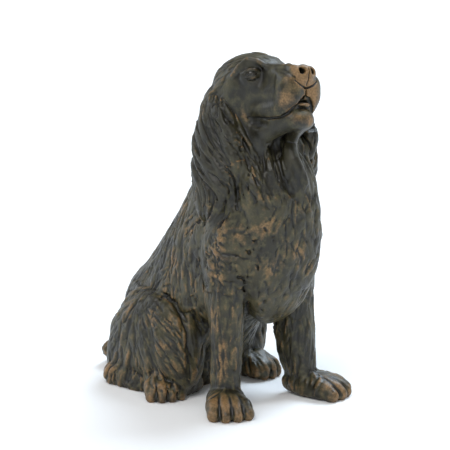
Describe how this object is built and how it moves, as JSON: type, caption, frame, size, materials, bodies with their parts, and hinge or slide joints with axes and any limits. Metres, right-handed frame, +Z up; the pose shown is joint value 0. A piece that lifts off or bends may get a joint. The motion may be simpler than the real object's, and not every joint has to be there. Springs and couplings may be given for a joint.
{
  "type": "dog figurine",
  "caption": "Seated long-eared dog statuette with raised head, wavy coat and splayed paws, hollow ceramic in a dark bronze finish.",
  "frame": {"origin": "on the ground, under the middle of the figure's bounding box", "axes": "+Z up, -Y the way the dog faces, +X towards the dog's left"},
  "size_m": [0.1563, 0.2402, 0.2989],
  "materials": {
    "bronze_finish": "dark olive-brown bronze-coloured finish on fired clay, semi-gloss, rubbed to copper on raised places",
    "copper_rub": "copper-coloured rubbed finish over the dark one, satin",
    "eye_finish": "dark, glossier than the coat",
    "bare_clay": "unfinished fired clay, matt"
  },
  "bodies": {
    "root": {"torso_shell": "bronze_finish", "base_slab": "bare_clay", "neck": "bronze_finish", "chest_ruff": "bronze_finish", "head_shell": "bronze_finish", "lower_jaw": "bronze_finish", "tongue": "copper_rub", "nose": "copper_rub", "right_eye": "eye_finish", "left_eye": "eye_finish", "right_brow": "bronze_finish", "left_brow": "bronze_finish", "right_ear": "bronze_finish", "left_ear": "bronze_finish", "right_foreleg": "bronze_finish", "left_foreleg": "bronze_finish", "right_forepaw": "bronze_finish", "left_forepaw": "bronze_finish", "right_haunch": "bronze_finish", "left_haunch": "bronze_finish", "right_hind_paw": "bronze_finish", "left_hind_paw": "bronze_finish", "tail": "bronze_finish"}
  },
  "joints": []
}
